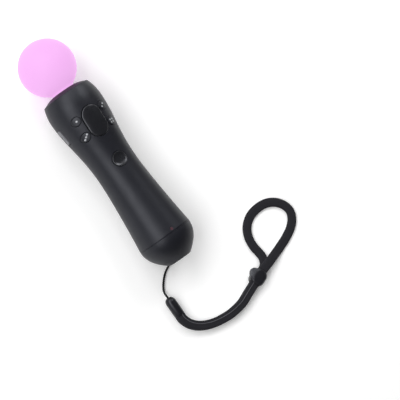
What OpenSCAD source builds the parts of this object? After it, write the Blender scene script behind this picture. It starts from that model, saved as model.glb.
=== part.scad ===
// Motion controller wand: a glowing sphere on a round grip, with buttons, a trigger and a wrist strap.
// Millimetres. The wand is drawn upright, tail face at z = 0 and front towards +x,
// and is then laid on its back: sphere towards -x, tail towards +x, buttons up, floor at z = 0.

/* [Outline] */
// Length from the tail face to the far side of the sphere
wand_len = 200; // [190:1:215]
// Diameter of the light sphere
sphere_d = 45; // [43:0.5:47]
// Height of the sphere's lowest point above the head rim
sphere_lift = 2; // [1.6:0.1:4]
// Largest diameter of the head
head_d = 45; // [44:0.5:48]
// Drop from the head rim to the widest part of the head
head_drop = 14; // [12:0.5:17]
// Diameter of the head at its rim
rim_d = 39.6; // [39:0.2:41]
// Smallest diameter of the grip
waist_d = 34.8; // [34.4:0.2:37]
// Height of the smallest diameter above the tail face, with the rim at its usual height
waist_z = 83; // [78:1:88]
// Largest diameter of the tail
tail_d = 45; // [44:0.5:48]
// Height of the end cap, up to the seam at the widest part of the tail
cap_h = 21; // [20:0.5:23]
// Diameter of the flat tail face
face_d = 18.4; // [17:0.2:19]
// Fullness of the rounded tail
tail_full = 2.2; // [1.9:0.1:2.6]
// Fullness of the taper from the tail to the waist
grip_full = 1.4; // [1.2:0.05:1.8]
// Bias of the flare from the waist to the head
head_bias = 1.15; // [1:0.05:1.3]
// Wall thickness of the casings
wall = 2.2; // [1.8:0.1:2.4]

/* [Front buttons] */
// Drop from the head rim to the middle of the thumb button
thumb_drop = 29.8; // [28:0.2:32]
// Width of the thumb button on a head of the usual diameter
thumb_w = 16; // [13:0.5:17]
// Length of the thumb button
thumb_l = 25; // [20:0.5:26]
// Height of the thumb button above the head
thumb_proud = 0.8; // [0.5:0.1:1.4]
// Stroke of the thumb button
thumb_stroke = 0.9; // [0.5:0.1:1.2]
// Diameter of the four face buttons on a head of the usual diameter
face_btn_d = 6.8; // [5.6:0.2:7.2]
// Sideways distance of the face buttons from the middle, on a head of the usual diameter
face_btn_y = 12.4; // [12:0.1:13]
// Distance between the two rows of face buttons
face_btn_pitch = 13.6; // [11:0.2:15]
// Height of the face buttons above the head
face_btn_proud = 0.6; // [0.3:0.1:1]
// Stroke of the face buttons
face_btn_stroke = 0.8; // [0.4:0.1:1]
// Diameter of the home button
home_d = 11.6; // [9:0.2:12.4]
// Drop from the head rim to the home button
home_drop = 64; // [62:0.5:68]
// Height of the home button's edge above the grip
home_proud = 0.5; // [0.2:0.1:0.8]
// Stroke of the home button
home_stroke = 0.6; // [0.3:0.1:0.8]
// Clearance between a button and its opening
button_gap = 0.2; // [0.12:0.02:0.35]

/* [Side buttons] */
// Drop from the head rim to the middle of the side buttons
side_drop = 27; // [25:0.5:29]
// Length of the side buttons
side_l = 13; // [10:0.5:14]
// Width of the side buttons
side_w = 3.8; // [3:0.1:4.4]
// Height of the side buttons above the head
side_proud = 0.5; // [0.3:0.1:0.7]
// Stroke of the side buttons
side_stroke = 0.6; // [0.3:0.1:0.8]

/* [Trigger] */
// Drop from the head rim to the trigger pin
trig_drop = 19; // [18:0.5:22]
// Length of the trigger below its pin
trig_len = 24.5; // [21:0.5:26]
// Width of the trigger
trig_w = 13; // [10:0.5:14]
// Depth of the finger dish in the trigger
trig_dish = 1.5; // [0.8:0.1:2]
// Radius of the round root of the trigger about its pin
trig_root = 5; // [4.4:0.1:5.2]
// Depth of the trigger pin below the widest line of the head
trig_depth = 5.7; // [5.6:0.1:6.4]
// Pull of the trigger in degrees
trig_pull = 10; // [6:0.5:11]
// Diameter of the trigger pin
pin_d = 2; // [1.6:0.1:2.4]
// Running clearance of the trigger on its pin
pin_gap = 0.05; // [0.02:0.01:0.1]
// Wire diameter of the trigger spring
spring_wire = 0.6; // [0.4:0.1:0.8]
// Coil diameter of the trigger spring
spring_d = 5; // [4:0.2:6]

/* [Light] */
// Wall of the sphere
sphere_wall = 1.8; // [1.2:0.1:2.4]
// Diameter of the neck below the sphere
neck_d = 19; // [17:0.5:20]
// Rise of the crowned collar above the rim
collar_rise = 2.8; // [1:0.1:3]
// Thickness of the collar at its edge
collar_t = 1.8; // [1.4:0.1:2.2]
// Width of the casing lip around the collar
rim_lip = 0.8; // [0.6:0.1:1]

/* [Inside] */
// Thickness of the main board
board_t = 1.6; // [1:0.1:2]
// Diameter of the battery cell in a grip of the usual diameter
cell_d = 12.8; // [11:0.2:14]
// Length of the battery cell, with the rim at its usual height
cell_l = 49; // [44:1:50]
// Diameter of the vibration motor in a grip of the usual diameter
motor_d = 10; // [9:0.5:11]
// Length of the vibration motor
motor_l = 14; // [11:0.5:15]
// Diameter of the motor shaft
shaft_d = 2; // [1.5:0.1:2.4]
// Shank diameter of the casing screws
screw_d = 2; // [1.8:0.1:2.3]

/* [Tail] */
// Thickness of the tail face
cap_floor = 2.6; // [2:0.1:3.2]
// Width of the charging socket
usb_w = 7.7; // [7.2:0.1:7.9]
// Height of the charging socket
usb_t = 3.9; // [3.4:0.1:4]
// Width of the extension socket
ext_w = 8.8; // [8:0.1:9]
// Height of the extension socket
ext_t = 5.2; // [4.8:0.1:5.2]
// Diameter of the charging contacts
contact_d = 2.2; // [1.6:0.1:2.3]
// Diameter of the strap bar
bar_d = 2; // [1.6:0.1:2.2]
// Diameter of the strap hole
eye_d = 6.6; // [6.4:0.1:7]

/* [Strap] */
// Width of the woven wrist band
band_w = 7.4; // [6:0.2:7.8]
// Thickness of the woven wrist band
band_t = 2.6; // [2:0.1:2.7]
// Diameter of the string
string_d = 1.8; // [1.2:0.1:1.9]
// Diameter of the ferrule
ferrule_d = 8.4; // [8.2:0.1:9]
// Length of the ferrule
ferrule_l = 16; // [14:0.5:17]
// Length of the strap slider
slider_l = 14; // [11:0.5:15]
// Width of the strap slider
slider_w = 12; // [11:0.5:14]
// Clearance of the slider around the two strands
slider_gap = 0.4; // [0.3:0.05:0.5]
// Free travel of the slider along the straight stretch
slider_travel = 16; // [8:1:17]

/* [Hidden] */
$fn = 64;
fit = 0.1;
seam = 0.12;
sphere_r = sphere_d/2;
sphere_c = wand_len - sphere_r;
rim_z = wand_len - sphere_d - sphere_lift;
head_z = rim_z - head_drop;
rest_h = max(sphere_d, head_d, tail_d)/2;
reach = 40;

// Usual rim height, head and waist: the waist, cell and buttons follow when these differ
usual_rim = 153;
usual_head = 45;
usual_waist = 34.8;
stretch = rim_z - usual_rim;
head_k = head_d/usual_head;
waist_k = waist_d/usual_waist;
waist_h = waist_z + stretch;
cell_h = cell_l + stretch;
cell_w = cell_d*waist_k;
motor_w = motor_d*waist_k;
thumb_wide = thumb_w*head_k;
face_wide = face_btn_d*head_k;
face_y = face_btn_y*head_k;

charcoal = [0.06, 0.06, 0.065];
black = [0.03, 0.03, 0.032];
steel = [0.7, 0.7, 0.72];
board_green = [0.05, 0.25, 0.12];
lilac = [0.96, 0.68, 0.97];
amber = [0.75, 0.5, 0.12];

// Outline of the wand
function mix(a, b, t) = a + (b - a)*t;
function ease(t) = (1 - cos(180*t))/2;
function tail_r(t) = mix(face_d, tail_d, 1 - pow(1 - t, tail_full))/2;
function grip_r(t) = mix(tail_d, waist_d, 1 - pow(1 - t, grip_full))/2;
function flare_r(t) = mix(waist_d, head_d, ease(pow(t, head_bias)))/2;
function brow_r(t) = mix(head_d, rim_d, t*t)/2;
function body_r(z) =
    z < cap_h ? tail_r(max(z, 0)/cap_h) :
    z < waist_h ? grip_r((z - cap_h)/(waist_h - cap_h)) :
    z < head_z ? flare_r((z - waist_h)/(head_z - waist_h)) :
    brow_r((z - head_z)/head_drop);
function inner_r(z) = body_r(z) - wall;
function outline(z0, z1, n, inset) =
    [for (i = [0:n]) let (z = mix(z0, z1, i/n)) [body_r(z) - inset, z]];
function reversed(p) = [for (i = [len(p) - 1:-1:0]) p[i]];
function chord(r, y) = sqrt(max(r*r - y*y, 0));

// Stack under the sphere
neck_r = neck_d/2;
neck_wall = 1.6;
collar_r = rim_d/2 - rim_lip - fit;
flange_r = neck_r + 2.5;
flange_t = 1.5;
flange_z = rim_z - collar_t - fit - flange_t;
carrier_t = 1.6;
carrier_top = flange_z - 3.2;
ledge_z = carrier_top - carrier_t;
carrier_r = inner_r(carrier_top) - 0.15;
ledge_r = carrier_r - 1.8;
ledge_t = 1.5;
lamp_t = 1.6;
lamp_r = flange_r - 1.4;

// Boards and buttons
part_a = 106;
board_z0 = cap_h + 0.6;
board_z1 = ledge_z - ledge_t - 1.5;
board_w = 16.4*waist_k;
thumb_z = rim_z - thumb_drop;
home_z = rim_z - home_drop;
side_z = rim_z - side_drop;
side_x = board_t/2;
wide_z = thumb_z - 19;
pad_t = 1;
dome_h = 1.6;
dome_x = board_t + pad_t + dome_h;
dome_r = 2.3;
dome_y = face_y - 1.4;
press_gap = 0.1;
stem_x = dome_x + thumb_stroke + press_gap;
face_stem_x = dome_x + face_btn_stroke + press_gap;
flange_w = 1;
thumb_low = thumb_z - thumb_l/2 - flange_w;
flange_gap = 0.25;
thumb_flange_x = chord(inner_r(thumb_low), thumb_wide/2) - flange_gap;
face_flange = 0.6;
home_flange_x = chord(inner_r(waist_h), home_d/2 + flange_w) - flange_gap;
switch_h = 1.8;
home_stem_x = board_t + switch_h + home_stroke + press_gap;
side_low = side_z - side_l/2 - 1;
side_flange_y = chord(inner_r(side_low), side_w/2 + 1.8) - flange_gap;
side_stem_y = side_flange_y - 1;
side_switch_y = side_stem_y - side_stroke - press_gap;
side_switch_w = 3;
side_switch_h = 2.2;
head_board_w = 2*side_switch_y - 0.8;
pad_half = side_switch_y - side_switch_w - 1;
led_z = cap_h + 2.4;
pipe_r = 1.2;

// Screws
post_y = 11.6*waist_k;
post_z = [cap_h + 12, wide_z - 4.4];
post_r = 2.6;
screw_seat = -9.5;
screw_l = 15;
stand_z = [cap_h + 7.4, (home_z + home_d/2 + thumb_z - thumb_l/2)/2];
stand_r = 2.4;
stud_r = 0.9;

// Trigger
trig_z = rim_z - trig_drop;
trig_x = trig_depth - head_d/2;
tip_z = trig_z - trig_len;
tip_x = 0.35 - head_d/2;
root_x = trig_x - trig_root;
trig_gap = 0.35;
cheek_y = trig_w/2 + 2*trig_gap;
cheek_t = 2.2;
plate_x = trig_x + 10.2;
plate_t = 1.4;
plate_z0 = tip_z + 4.8;
plate_z1 = trig_z + 5;
spring_z = trig_z - 16;
nub_drop = 9;
nub_z = trig_z - nub_drop;
nub_gap = 0.84;
sensor_x = plate_x - 2.6;
function dish_x(t) = mix(root_x, tip_x, t) + trig_dish*sin(180*t);
function lever_in(t) = mix(trig_x + 2, tip_x + 4.2, t);
spring_back = lever_in(16/trig_len) - 0.05;
spring_front = plate_x - 0.05;

// Battery and motor
cell_x = -cell_w/2 - 0.9;
cell_z = cap_h + 11;
cell_rib_x = cell_x - 1.6;
lead_z = cell_z + cell_h;
weight_t = 4.6;
weight_gap = 0.6;
weight_r = motor_w/2 - 0.6;
weight_z = plate_z0 - weight_t - 3.1;
motor_z = weight_z - weight_gap - motor_l;
boot_t = 1.4;
boot_r = motor_w/2 + boot_t;
motor_x = -boot_r - 0.8;
motor_rib_x = motor_x - 1.7;

// Tail
port_t = 1.2;
port_x = -port_t/2;
port_top = port_x + port_t;
port_in = 0.6;
usb_deep = 9.2;
ext_deep = 8.4;
eye_z = 6.6;
eye_in = 2.6;
eye = [eye_in - body_r(eye_z), 0, eye_z];
eye_r = eye_d/2;
spigot_h = 5;
spigot_r = inner_r(cap_h + spigot_h) - 0.15;
spigot_t = 1.5;
contact_y = 6.6;

// Strap route on the floor, from the tail face: x, y and the lift of the lower strand
slide_dir = 110;
slide_from = [53.6, 36];
function along(d) = [slide_from[0] + d*cos(slide_dir), slide_from[1] + d*sin(slide_dir)];
strand_gap = 0.2;
floor_gap = 0.05;
low_z = band_t/2 + floor_gap;
lift = 1.5;
step_z = band_t + strand_gap;
top_z = low_z + lift + step_z;
ferrule_at = [19.5, -20];
ferrule_r = ferrule_d/2;
pair = [[ferrule_at[0] + ferrule_l, ferrule_at[1], lift],
    [39.4, ferrule_at[1], lift],
    [45, -17.6, lift*0.6],
    [50, -13, lift*0.2],
    [53.8, -6.8, 0],
    [56.4, 0.6, 0],
    [57.8, 8.6, 0],
    [58.2, 16.6, lift*0.6],
    [along(-9.5)[0], along(-9.5)[1], lift],
    [along(0)[0], along(0)[1], lift],
    [along(12)[0], along(12)[1], lift],
    [along(24)[0], along(24)[1], lift]];
loop = [[44, 64, top_z],
    [42.4, 70, mix(low_z, top_z, 0.8)],
    [41, 76, mix(low_z, top_z, 0.34)],
    [39.4, 82, low_z],
    [36.2, 91, low_z],
    [32.4, 98.6, low_z],
    [27.6, 104.2, low_z],
    [21.4, 107.2, low_z],
    [14.6, 106, low_z],
    [8.4, 101, low_z],
    [4.6, 93.4, low_z],
    [4, 84.4, low_z],
    [6, 76, low_z],
    [11, 69.2, low_z],
    [18, 65.2, low_z],
    [26, 64, low_z],
    [32.6, 64.8, low_z],
    [37.2, 65, low_z + lift*0.2],
    [41, 63.7, low_z + lift*0.5],
    [43.7, 61.4, low_z + lift*0.8]];
bar_at = [-eye[2], 0, rest_h + eye[0]];
string_z = string_d/2 + floor_gap;
turn_r = bar_d/2 + string_d/2 + 0.2;
turn_k = 0.79*turn_r;
string = [bar_at + [-0.2, 0, turn_r + 0.8],
    bar_at + [-turn_k, 0, turn_k],
    bar_at + [-turn_r, 0, 0],
    bar_at + [-turn_k, 0, -turn_k],
    bar_at + [-0.2, 0, -turn_r - 0.4],
    bar_at + [1.8, -0.2, -turn_r - 0.8],
    [-2.6, -0.8, 4.6],
    [-0.6, -3, 2.4],
    [1.6, -7, 1],
    [4.6, -11.2, string_z],
    [8.4, -15, string_z],
    [12.4, -18, 1.2],
    [15.4, -19.6, 3],
    [17.8, ferrule_at[1], ferrule_r],
    [ferrule_at[0], ferrule_at[1], ferrule_r]];

// Tubes swept along the chosen points
function unit(v) = v/norm(v);
function heading(p, i) = unit(p[min(i + 1, len(p) - 1)] - p[max(i - 1, 0)]);
function length_of(p, i = 0) = i >= len(p) - 1 ? 0 : norm(p[i + 1] - p[i]) + length_of(p, i + 1);

module tube(path, w, t, sides, guide) {
    n = len(path);
    rings = [for (i = [0:n - 1])
        let (h = heading(path, i), s = unit(cross(guide, h)), u = cross(h, s))
        for (k = [0:sides - 1])
            path[i] + s*(w/2*cos(360*(k + 0.5)/sides)) + u*(t/2*sin(360*(k + 0.5)/sides))];
    walls = [for (i = [0:n - 2], k = [0:sides - 1])
        let (a = i*sides + k, b = i*sides + (k + 1) % sides)
        each [[a, a + sides, b + sides], [a, b + sides, b]]];
    ends = [[for (k = [0:sides - 1]) k], [for (k = [sides - 1:-1:0]) (n - 1)*sides + k]];
    polyhedron(points = rings, faces = concat(walls, ends), convexity = 8);
}

// Shared shapes
module at_tail() translate([wand_len/2, 0, 0]) children();
module lie() translate([wand_len/2, 0, rest_h]) rotate([0, -90, 0]) children();
module sector(a0, a1) rotate([0, 0, a0]) rotate_extrude(angle = a1 - a0) children();
module along_x(x0, x1, y, z) translate([x0, y, z]) rotate([0, 90, 0]) linear_extrude(x1 - x0) children();
module along_y(side, y0, y1, x, z)
    translate([x, side*y0, z]) rotate([-90*side, 0, 0]) linear_extrude(y1 - y0) children();
module rod_x(x0, x1, y, z, r) translate([x0, y, z]) rotate([0, 90, 0]) cylinder(r = r, h = x1 - x0);
module block(x0, x1, y0, y1, z0, z1) translate([x0, y0, z0]) cube([x1 - x0, y1 - y0, z1 - z0]);
module slot(l, w) {
    square([l - w, w], center = true);
    translate([(l - w)/2, 0]) circle(d = w);
    translate([(w - l)/2, 0]) circle(d = w);
}
module skin(z0, z1, proud, n) rotate_extrude()
    polygon(concat([[0, z0]], outline(z0, z1, n, -proud), [[0, z1]]));
module core() rotate_extrude() polygon(concat([[0, cap_h + 1]],
    outline(cap_h + 1, ledge_z - ledge_t, 40, wall - 0.5), [[0, ledge_z - ledge_t]]));
module wall_profile() polygon(concat(outline(cap_h + seam, rim_z, 44, 0),
    [[rim_d/2 - rim_lip, rim_z], [rim_d/2 - rim_lip, rim_z - collar_t]],
    reversed(outline(ledge_z, rim_z - collar_t, 6, wall)),
    [[ledge_r, ledge_z], [ledge_r, ledge_z - ledge_t]],
    reversed(outline(cap_h + seam, ledge_z - ledge_t, 40, wall))));

// Light
module light_sphere() lie() color(lilac) rotate_extrude() difference() {
    union() {
        intersection() {
            translate([0, sphere_c]) circle(r = sphere_r);
            square([sphere_d, 2*wand_len]);
        }
        translate([0, flange_z]) square([neck_r, sphere_c - sphere_r + 4 - flange_z]);
        translate([0, flange_z]) square([flange_r, flange_t]);
    }
    translate([0, sphere_c]) circle(r = sphere_r - sphere_wall);
    translate([-1, flange_z - 1]) square([neck_r - neck_wall + 1, sphere_c - flange_z]);
}

module head_collar() lie() color(charcoal) rotate_extrude() polygon(concat(
    [[collar_r, rim_z - collar_t]],
    [for (i = [0:8]) [mix(collar_r, neck_r + 0.25, i/8), rim_z + collar_rise*sin(90*i/8)]],
    [[neck_r + 0.25, rim_z - collar_t]]));

module light_carrier() lie() color(black) rotate_extrude() polygon([
    [5, ledge_z], [carrier_r, ledge_z], [carrier_r, carrier_top], [flange_r + 1.5, carrier_top],
    [flange_r + 1.5, flange_z], [flange_r - 1, flange_z], [flange_r - 1, carrier_top], [5, carrier_top]]);

module light_board() lie() color([0.9, 0.9, 0.9])
    translate([0, 0, carrier_top]) cylinder(r = lamp_r, h = lamp_t);

module light_led() lie() color([0.95, 0.95, 0.9]) translate([0, 0, carrier_top + lamp_t]) rotate_extrude()
    union() {
        square([2.6, 0.9]);
        intersection() {
            translate([0, 0.9]) circle(r = 1.9);
            translate([0, 0.5]) square([3, 3]);
        }
    }

module light_flex() lie() color(amber)
    block(board_t, board_t + 0.3, -3, 3, board_z1 - 4, carrier_top);

// Casings
module front_casing() lie() color(charcoal) difference() {
    union() {
        sector(-part_a, part_a) wall_profile();
        intersection() {
            core();
            union() {
                for (s = [-1, 1], z = post_z) rod_x(0.15, reach, s*post_y, z, post_r);
                for (z = stand_z) rod_x(board_t, reach, 0, z, stand_r);
            }
        }
    }
    for (s = [-1, 1], z = post_z) rod_x(-1, screw_seat + screw_l + 0.6, s*post_y, z, screw_d/2 + 0.05);
    for (z = stand_z) rod_x(0, board_t + 6, 0, z, stud_r + 0.05);
    along_x(stem_x, reach, 0, thumb_z) slot(thumb_l + 2*button_gap, thumb_wide + 2*button_gap);
    for (s = [-1, 1], k = [-1, 1])
        rod_x(3, reach, s*face_y, thumb_z + k*face_btn_pitch/2, face_wide/2 + button_gap);
    rod_x(6, reach, 0, home_z, home_d/2 + button_gap);
    for (s = [-1, 1])
        along_y(s, 10, reach, side_x, side_z) rotate(90) slot(side_l + 2*button_gap, side_w + 2*button_gap);
    rod_x(6, reach, 0, led_z, pipe_r + fit);
}

module rear_casing() lie() color(charcoal) difference() {
    union() {
        sector(part_a + 0.3, 359.7 - part_a) wall_profile();
        intersection() {
            core();
            union() {
                for (s = [-1, 1], z = post_z) rod_x(-reach, -0.05, s*post_y, z, post_r + 0.4);
                for (s = [-1, 1])
                    block(-reach, plate_x, s > 0 ? cheek_y : -cheek_y - cheek_t,
                        s > 0 ? cheek_y + cheek_t : -cheek_y, plate_z0, plate_z1);
                for (z = [cell_z + 8, cell_z + cell_h - 10])
                    difference() {
                        block(-reach, cell_rib_x, -reach, reach, z, z + 2);
                        translate([cell_x, 0, z - 1]) cylinder(r = cell_w/2 + fit, h = 4);
                    }
                difference() {
                    block(-reach, motor_rib_x, -reach, reach, motor_z + 4, motor_z + 8);
                    translate([motor_x, 0, motor_z]) cylinder(r = boot_r + fit, h = motor_l);
                }
            }
        }
    }
    for (s = [-1, 1], z = post_z) {
        rod_x(-reach, 2, s*post_y, z, screw_d/2 + 0.15);
        rod_x(-reach, screw_seat, s*post_y, z, screw_d + fit);
    }
    block(-reach, plate_x - 2.8, -trig_w/2 - trig_gap, trig_w/2 + trig_gap,
        tip_z - 0.6, trig_z + trig_root + 0.5);
    translate([trig_x, cheek_y + cheek_t + 0.5, trig_z]) rotate([90, 0, 0])
        cylinder(r = pin_d/2 + 0.02, h = 2*(cheek_y + cheek_t + 0.5));
}

module casing_screws() lie() color(steel) for (s = [-1, 1], z = post_z) {
    rod_x(screw_seat - 1.5, screw_seat, s*post_y, z, screw_d);
    rod_x(screw_seat - 0.2, screw_seat + screw_l, s*post_y, z, screw_d/2);
}

// Front buttons
module thumb_button() lie() color(black) intersection() {
    head_skin(thumb_proud);
    union() {
        along_x(thumb_flange_x - flange_w, reach, 0, thumb_z) slot(thumb_l, thumb_wide);
        along_x(thumb_flange_x - flange_w, thumb_flange_x, 0, thumb_z) slot(thumb_l + 2*flange_w, thumb_wide);
        rod_x(stem_x, thumb_flange_x, 0, thumb_z, 3.4);
    }
}

module face_rod(s, k, r)
    translate([0, s*face_y, thumb_z + k*face_btn_pitch/2]) rod_x(face_stem_x, reach, 0, 0, r);
module head_skin(proud) skin(thumb_z - 20, thumb_z + 20, proud, 24);
module face_button(s, k) lie() color(charcoal) union() {
    intersection() {
        head_skin(face_btn_proud);
        face_rod(s, k, face_wide/2);
    }
    intersection() {
        difference() {
            head_skin(-wall - flange_gap);
            head_skin(-wall - flange_gap - flange_w);
        }
        face_rod(s, k, face_wide/2 + face_flange);
    }
}
module face_button_1() face_button(-1, 1);
module face_button_2() face_button(1, 1);
module face_button_3() face_button(-1, -1);
module face_button_4() face_button(1, -1);

module home_button() lie() color(black) difference() {
    intersection() {
        skin(home_z - 14, home_z + 14, home_proud, 12);
        union() {
            rod_x(home_flange_x - flange_w, reach, 0, home_z, home_d/2);
            rod_x(home_flange_x - flange_w, home_flange_x, 0, home_z, home_d/2 + flange_w);
            rod_x(home_stem_x, home_flange_x, 0, home_z, 2);
        }
    }
    translate([body_r(home_z) + 12.6, 0, home_z]) sphere(r = 13);
}

module side_button(s) lie() color(charcoal) intersection() {
    skin(side_z - 14, side_z + 14, side_proud, 14);
    union() {
        along_y(s, side_stem_y, reach, side_x, side_z) rotate(90) slot(side_l, side_w);
        along_y(s, side_stem_y, side_flange_y, side_x, side_z) rotate(90) slot(side_l + 2, side_w + 2);
    }
}
module side_button_left() side_button(-1);
module side_button_right() side_button(1);

// Trigger
module trigger() lie() color(black) difference() {
    union() {
        translate([trig_x, trig_w/2, trig_z]) rotate([90, 0, 0]) cylinder(r = trig_root, h = trig_w);
        translate([0, trig_w/2, 0]) rotate([90, 0, 0]) linear_extrude(trig_w) polygon(concat(
            [for (i = [0:10]) [dish_x(i/10), mix(trig_z, tip_z, i/10)]],
            [[tip_x + 4.2, tip_z], [trig_x + 2, trig_z]]));
        rod_x(lever_in(nub_drop/trig_len) - 2, sensor_x - nub_drop*sin(trig_pull) - nub_gap, 0, nub_z, 1.6);
    }
    translate([trig_x, trig_w, trig_z]) rotate([90, 0, 0]) cylinder(r = pin_d/2 + pin_gap, h = 2*trig_w);
}

module trigger_pin() lie() color(steel) translate([trig_x, cheek_y + cheek_t, trig_z]) rotate([90, 0, 0])
    cylinder(r = pin_d/2, h = 2*(cheek_y + cheek_t));

module trigger_spring() lie() color(steel) tube(
    [for (i = [0:40]) [mix(spring_back + spring_wire/2 + 0.3, spring_front - spring_wire/2 - 0.05, i/40),
        (spring_d - spring_wire)/2*cos(45*i), spring_z + (spring_d - spring_wire)/2*sin(45*i)]],
    spring_wire, spring_wire, 6, [1, 0, 0]);

module sensor_plate() lie() color(black)
    block(plate_x, plate_x + plate_t, -cheek_y - cheek_t, cheek_y + cheek_t, plate_z0, plate_z1);

module trigger_sensor() lie() color([0.3, 0.3, 0.3]) rod_x(sensor_x, plate_x, 0, nub_z, 2.6);

module sensor_flex() lie() color(amber)
    block(plate_x + plate_t, 0, -2, 2, plate_z1 - 0.8, plate_z1 - 0.5);

// Boards
module main_board() lie() color(board_green) difference() {
    along_x(0, board_t, 0, 0) rotate(180) polygon([[board_z0, -board_w/2], [wide_z, -board_w/2],
        [wide_z + 6, -head_board_w/2], [board_z1, -head_board_w/2], [board_z1, head_board_w/2],
        [wide_z + 6, head_board_w/2], [wide_z, board_w/2], [board_z0, board_w/2]]);
    for (z = stand_z) rod_x(-1, board_t + 1, 0, z, stud_r + 0.2);
}

module board_screws() lie() color(steel) for (z = stand_z) {
    rod_x(-0.8, 0, 0, z, 1.7);
    rod_x(-0.4, board_t + 5, 0, z, stud_r);
}

function chip_at(t) = mix(cap_h, home_z, t);
module board_chips() lie() color([0.12, 0.12, 0.13]) {
    block(board_t, board_t + 2, -6.5, 6.5, chip_at(0.22), chip_at(0.515));
    block(board_t, board_t + 1.2, -5, 5, chip_at(0.59), chip_at(0.735));
    block(board_t, board_t + 1, -2, 2, chip_at(0.78), chip_at(0.84));
    block(board_t, board_t + 0.8, -1.2, 1.2, led_z - 0.9, led_z + 0.9);
}

module button_pad() lie() color([0.55, 0.55, 0.55]) union() {
    block(board_t, board_t + pad_t, -pad_half, pad_half, wide_z + 7, board_z1 - 5);
    for (s = [-1, 1], k = [-1, 1])
        rod_x(board_t, dome_x, s*dome_y, thumb_z + k*face_btn_pitch/2, dome_r);
    rod_x(board_t, dome_x, 0, thumb_z, 4.2);
}

module home_switch() lie() color([0.2, 0.2, 0.2])
    block(board_t, board_t + switch_h, -3, 3, home_z - 3, home_z + 3);

module side_switches() lie() color([0.2, 0.2, 0.2]) for (s = [-1, 1])
    translate([0, s*(side_switch_y - side_switch_w/2), side_z])
        block(board_t, board_t + side_switch_h, -side_switch_w/2, side_switch_w/2, -2, 2);

module status_pipe() lie() color([0.5, 0.05, 0.06])
    rod_x(board_t + 1, body_r(led_z) - 0.05, 0, led_z, pipe_r);

// Power and vibration
module battery_cell() lie() color([0.2, 0.3, 0.55]) translate([cell_x, 0, cell_z]) union() {
    cylinder(r = cell_w/2, h = cell_h);
    cylinder(r = 2.6, h = cell_h + 0.9);
}

module battery_leads() lie() color([0.6, 0.05, 0.05]) for (s = [-1, 1])
    tube([[cell_x, 4*s, lead_z], [cell_x, 4*s, lead_z + 2], [cell_x + 0.7, 4*s, lead_z + 3.6],
        [cell_x + 2, 4*s, lead_z + 4.6], [0, 4*s, lead_z + 4.6]], 1, 1, 8, [0, 1, 0]);

module vibration_motor() lie() color(steel) translate([motor_x, 0, motor_z]) difference() {
    cylinder(r = motor_w/2, h = motor_l);
    translate([0, 0, motor_l - 6]) cylinder(r = shaft_d/2 + 0.05, h = 8);
}

module motor_boot() lie() color(black) translate([motor_x, 0, motor_z + 1.5]) difference() {
    cylinder(r = boot_r, h = motor_l - 4);
    translate([0, 0, -1]) cylinder(r = motor_w/2, h = motor_l);
}

module motor_shaft() lie() color(steel) translate([motor_x, 0, motor_z + motor_l - 5.5])
    cylinder(r = shaft_d/2, h = 5.5 + weight_z - motor_z - motor_l + weight_t);

module motor_weight() lie() color([0.55, 0.5, 0.4]) translate([motor_x, 0, weight_z]) difference() {
    union() {
        rotate([0, 0, 90]) rotate_extrude(angle = 180) square([weight_r, weight_t]);
        cylinder(r = shaft_d/2 + 0.9, h = weight_t);
    }
    translate([0, 0, -1]) cylinder(r = shaft_d/2, h = weight_t + 2);
}

module motor_leads() lie() color([0.1, 0.15, 0.5]) for (s = [-1, 1])
    tube([[motor_x, 2*s, motor_z], [motor_x, 2*s, motor_z - 1.4], [motor_x + 0.6, 2*s, motor_z - 2.6],
        [motor_x + 1.8, 2*s, motor_z - 3.4], [0, 2*s, motor_z - 3.4]], 0.8, 0.8, 8, [0, 1, 0]);

// Tail
module eye_axis() translate(eye) rotate([0, -135, 0]) children();

module end_cap() lie() color(charcoal) difference() {
    union() {
        rotate_extrude() polygon(concat([[0, 0]], outline(0, cap_h, 16, 0),
            [[spigot_r, cap_h], [spigot_r, cap_h + spigot_h], [spigot_r - spigot_t, cap_h + spigot_h],
            [spigot_r - spigot_t, cap_h - 4]],
            reversed(outline(cap_floor, cap_h - 5, 10, wall)), [[0, cap_floor]]));
        intersection() {
            skin(0.5, cap_h, -0.4, 16);
            union() {
                eye_axis() translate([0, 0, -5]) cylinder(r = eye_r + 1.6, h = 20);
                for (s = [-1, 1]) difference() {
                    block(-2, 2, s > 0 ? 8 : -10.4, s > 0 ? 10.4 : -8, 2, 14);
                    block(port_x - 0.05, port_top + 0.05, -9.1, 9.1, cap_floor, 20);
                }
            }
        }
    }
    eye_axis() translate([0, 0, -3.4]) cylinder(r = eye_r, h = 20);
    translate([eye[0], 6, eye[2]]) rotate([90, 0, 0]) cylinder(r = bar_d/2, h = 12);
    block(port_x - usb_t - fit, port_x, -usb_w/2 - fit, usb_w/2 + fit, -1, 4);
    block(port_top, port_top + ext_t + fit, -ext_w/2 - fit, ext_w/2 + fit, -1, 4);
    for (s = [-1, 1]) translate([port_x - usb_t/2, s*contact_y, -1]) cylinder(r = contact_d/2, h = 6);
    rod_x(10, reach, 0, led_z, pipe_r + 0.3);
}

module port_board() lie() color(board_green)
    block(port_x, port_x + port_t, -9, 9, cap_floor + 0.1, cap_h - 3);

module port_flex() lie() color(amber) translate([0, -2, 0]) rotate([90, 0, 0]) linear_extrude(6)
    polygon([[port_top, cap_h - 8], [port_top + 0.3, cap_h - 8], [port_top + 0.3, cap_h - 2.4],
        [board_t + 0.3, cap_h + 0.2], [board_t + 0.3, cap_h + 4], [board_t, cap_h + 4],
        [board_t, cap_h + 0.4], [port_top, cap_h - 2.2]]);

module usb_socket() lie() color(steel) difference() {
    block(port_x - usb_t, port_x, -usb_w/2, usb_w/2, port_in, port_in + usb_deep);
    block(port_x - usb_t + 0.4, port_x - 0.4, -usb_w/2 + 0.4, usb_w/2 - 0.4, 0, usb_deep - 0.2);
}

module usb_tongue() lie() color(black)
    block(port_x - usb_t/2 - 0.45, port_x - usb_t/2 + 0.45, -2.2, 2.2, port_in + 1.2, usb_deep - 0.2);

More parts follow.
